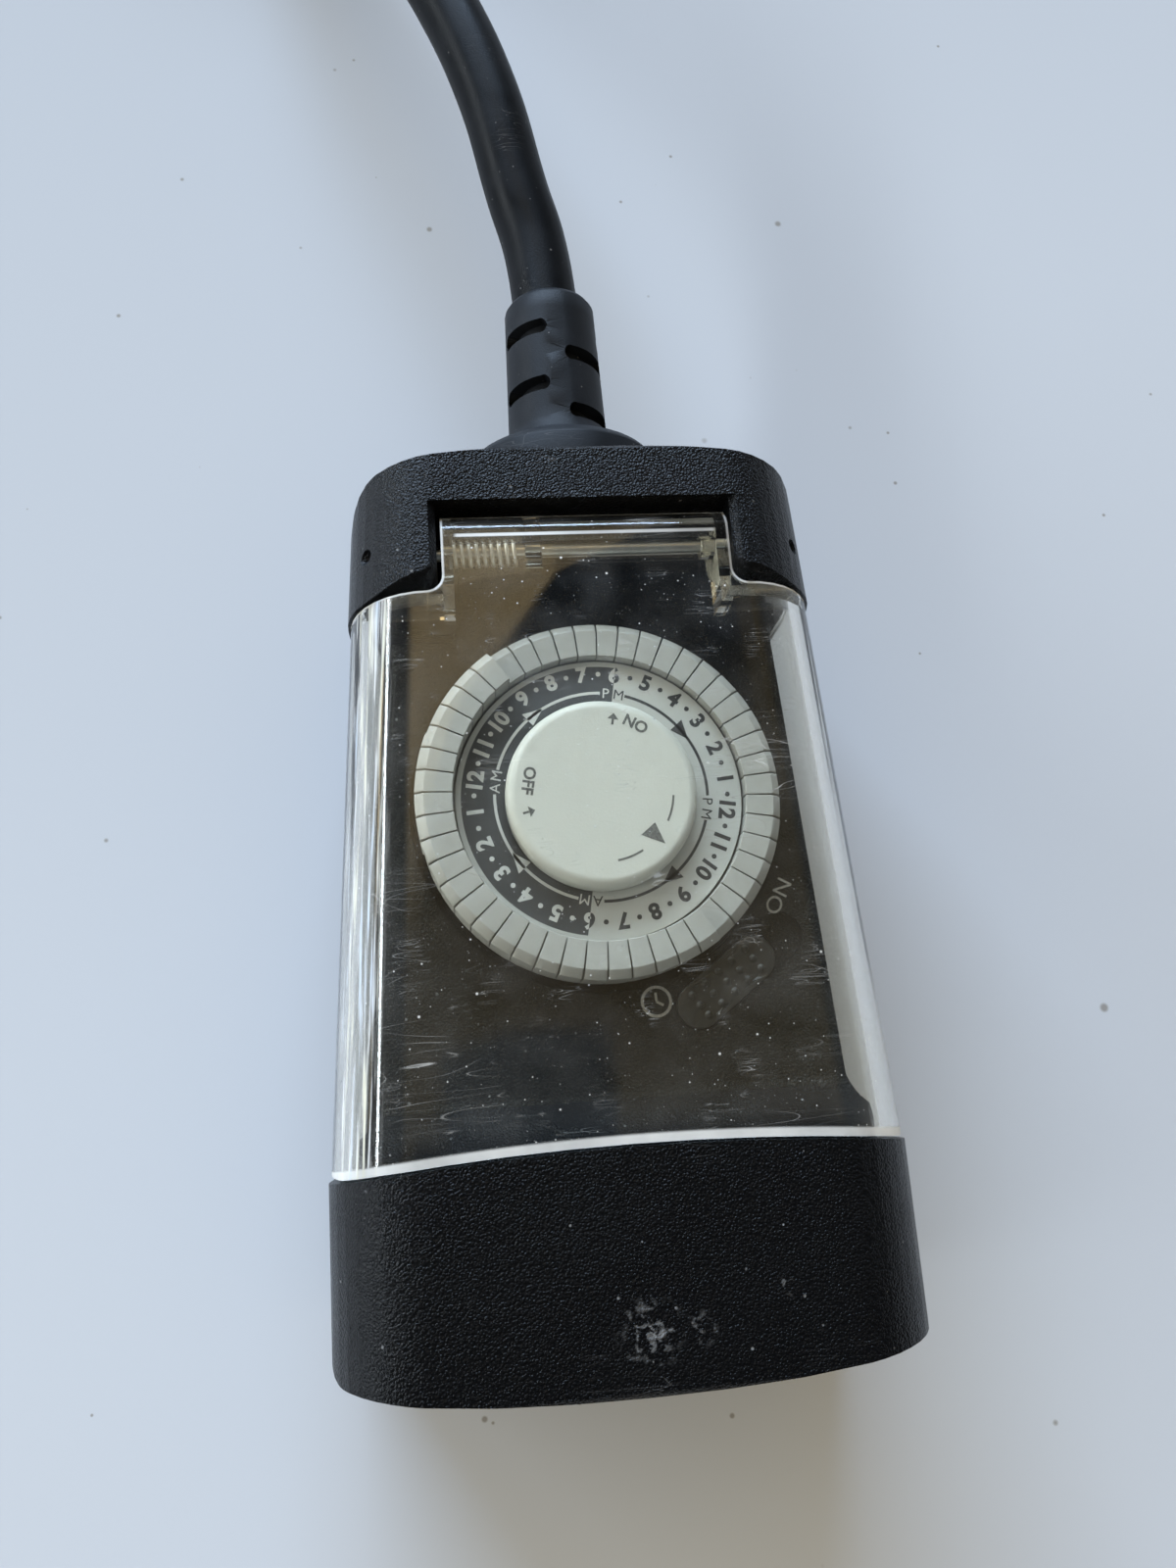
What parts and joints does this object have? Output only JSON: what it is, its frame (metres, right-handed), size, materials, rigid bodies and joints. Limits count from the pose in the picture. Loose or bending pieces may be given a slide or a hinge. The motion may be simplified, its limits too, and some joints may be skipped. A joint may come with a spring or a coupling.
{
  "type": "plug in timer switch",
  "caption": "Outdoor mechanical timer box with a clear spring-closed cover over a dial with a ring of trippers, an override slider, end outlets and a short grounded cord.",
  "frame": {"origin": "on the box's flat back face, under the dial's axis", "axes": "+Z out of the dial's face, +Y along the box towards the cord, +X to the right as one looks at the dial"},
  "size_m": [0.103, 0.3288, 0.046],
  "materials": {
    "black_plastic": "coarse leather grain, scuffed",
    "clear_cover": "clear polycarbonate with fine scratches",
    "steel": "zinc plated",
    "spring_steel": "drawn wire",
    "ring_grey": "fine texture",
    "dial_white": "printed",
    "cap_ivory": "fine pebble texture",
    "gear_white": "moulded acetal",
    "movement_grey": "moulded",
    "motor_can": "zinc plated can",
    "brass": "stamped",
    "switch_red": "moulded",
    "slider_black": "moulded",
    "outlet_black": "moulded",
    "boot_rubber": "satin vinyl",
    "cord_vinyl": "satin vinyl jacket",
    "plug_vinyl": "moulded vinyl"
  },
  "bodies": {
    "housing": {"rear_housing": "black_plastic", "front_housing": "black_plastic", "hinge_pin": "steel", "cover_spring": "spring_steel", "dial_post": "gear_white", "center_cap": "cap_ivory", "movement_plate": "movement_grey", "motor": "motor_can", "idler_axle": "steel", "lever_pin": "steel", "microswitch": "switch_red", "outlet_block": "outlet_black", "hot_bar": "brass", "neutral_bar": "brass", "ground_bar": "brass", "housing_screws": "steel", "movement_screws": "steel", "cord_boot": "boot_rubber", "cord": "cord_vinyl", "plug_body": "plug_vinyl", "plug_blades": "brass", "plug_ground_pin": "brass"},
    "cover": {"cover": "clear_cover"},
    "dial": {"dial_carrier": "ring_grey", "dial_plate": "dial_white", "dial_gear": "gear_white"},
    "trippers_9am_noon": {"trippers_9am_noon": "ring_grey"},
    "trippers_noon_3pm": {"trippers_noon_3pm": "ring_grey"},
    "trippers_3pm_6pm": {"trippers_3pm_6pm": "ring_grey"},
    "trippers_6pm_9pm": {"trippers_6pm_9pm": "ring_grey"},
    "trippers_9pm_midnight": {"trippers_9pm_midnight": "ring_grey"},
    "trippers_midnight_3am": {"trippers_midnight_3am": "ring_grey"},
    "trippers_3am_6am": {"trippers_3am_6am": "ring_grey"},
    "trippers_6am_9am": {"trippers_6am_9am": "ring_grey"},
    "idler": {"idler_gear": "gear_white"},
    "pinion": {"motor_pinion": "brass"},
    "lever": {"switch_lever": "gear_white"},
    "plunger": {"switch_plunger": "gear_white"},
    "slider": {"override_slider": "slider_black", "slider_foot": "gear_white"}
  },
  "joints": [
    {"name": "cover_hinge", "type": "hinge", "parent": "housing", "child": "cover", "pos_m": [0, 0.0318, 0.0412], "axis": [-1, 0, 0], "range_deg": [0, 88], "stiffness_Nm_per_rad": 0.006, "springref_deg": -45.84},
    {"name": "dial_turn", "type": "hinge", "parent": "housing", "child": "dial", "pos_m": [0, 0, 0], "axis": [0, 0, 1], "continuous": true},
    {"name": "trippers_9am_noon_slide", "type": "slide", "parent": "dial", "child": "trippers_9am_noon", "axis": [0, 0, 1], "range_m": [0, 0.002]},
    {"name": "trippers_noon_3pm_slide", "type": "slide", "parent": "dial", "child": "trippers_noon_3pm", "axis": [0, 0, 1], "range_m": [0, 0.002]},
    {"name": "trippers_3pm_6pm_slide", "type": "slide", "parent": "dial", "child": "trippers_3pm_6pm", "axis": [0, 0, 1], "range_m": [0, 0.002]},
    {"name": "trippers_6pm_9pm_slide", "type": "slide", "parent": "dial", "child": "trippers_6pm_9pm", "axis": [0, 0, 1], "range_m": [0, 0.002]},
    {"name": "trippers_9pm_midnight_slide", "type": "slide", "parent": "dial", "child": "trippers_9pm_midnight", "axis": [0, 0, 1], "range_m": [-0.002, 0]},
    {"name": "trippers_midnight_3am_slide", "type": "slide", "parent": "dial", "child": "trippers_midnight_3am", "axis": [0, 0, 1], "range_m": [-0.002, 0]},
    {"name": "trippers_3am_6am_slide", "type": "slide", "parent": "dial", "child": "trippers_3am_6am", "axis": [0, 0, 1], "range_m": [-0.002, 0]},
    {"name": "trippers_6am_9am_slide", "type": "slide", "parent": "dial", "child": "trippers_6am_9am", "axis": [0, 0, 1], "range_m": [-0.002, 0]},
    {"name": "idler_turn", "type": "hinge", "parent": "housing", "child": "idler", "pos_m": [0, 0.01837, 0], "axis": [0, 0, 1], "continuous": true},
    {"name": "motor_pinion_turn", "type": "hinge", "parent": "housing", "child": "pinion", "pos_m": [-0.00952, 0.01394, 0], "axis": [0, 0, 1], "continuous": true},
    {"name": "override_slide", "type": "slide", "parent": "housing", "child": "slider", "axis": [0.8039, 0.5948, 0], "range_m": [0, 0.0044]},
    {"name": "lever_tilt", "type": "hinge", "parent": "housing", "child": "lever", "pos_m": [0.02122, -0.02049, 0.02495], "axis": [-0.6947, -0.7193, 0], "range_deg": [0, 5]},
    {"name": "switch_plunger_slide", "type": "slide", "parent": "housing", "child": "plunger", "axis": [0, 0, -1], "range_m": [0, 0.00031]}
  ],
  "couplings": [
    {"joint": "idler_turn", "follows": "dial_turn", "ratio": -6},
    {"joint": "motor_pinion_turn", "follows": "dial_turn", "ratio": 18},
    {"joint": "lever_tilt", "follows": "override_slide", "rad_per_m": 19.832},
    {"joint": "switch_plunger_slide", "follows": "override_slide", "ratio": 0.0696}
  ]
}
